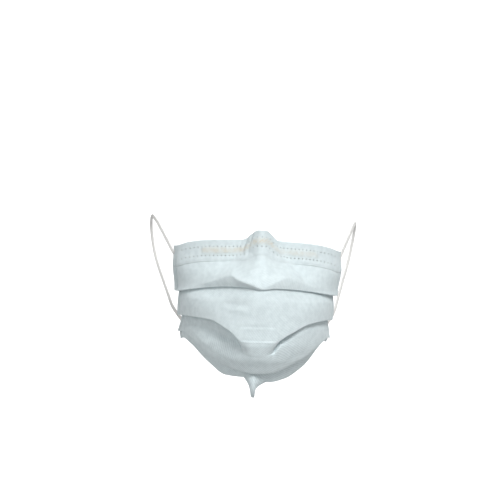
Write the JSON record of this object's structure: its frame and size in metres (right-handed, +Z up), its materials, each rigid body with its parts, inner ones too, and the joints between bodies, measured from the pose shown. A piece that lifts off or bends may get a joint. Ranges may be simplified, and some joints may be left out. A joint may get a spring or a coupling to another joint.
{
  "type": "surgical face mask",
  "caption": "Pleated disposable face mask in its worn shape, with a nose wire in the top hem and elastic ear loops welded inside its corners.",
  "frame": {"origin": "the point of the inner face that sits on the bridge of the nose, midway along the nose wire and at its height", "axes": "+X across the mask towards its right side as seen from the front, +Y back towards the ears, +Z up"},
  "size_m": [0.1538, 0.144, 0.1258],
  "materials": {
    "nonwoven_cloth": "matte non-woven, very pale blue",
    "nose_wire": "plastic-coated flat wire",
    "elastic": "white knitted elastic"
  },
  "bodies": {
    "root": {"mask_panel": "nonwoven_cloth", "nose_wire": "nose_wire", "ear_loop_left": "elastic", "ear_loop_right": "elastic", "loop_weld_upper_left": "elastic", "loop_weld_upper_right": "elastic", "loop_weld_lower_left": "elastic", "loop_weld_lower_right": "elastic"}
  },
  "joints": []
}
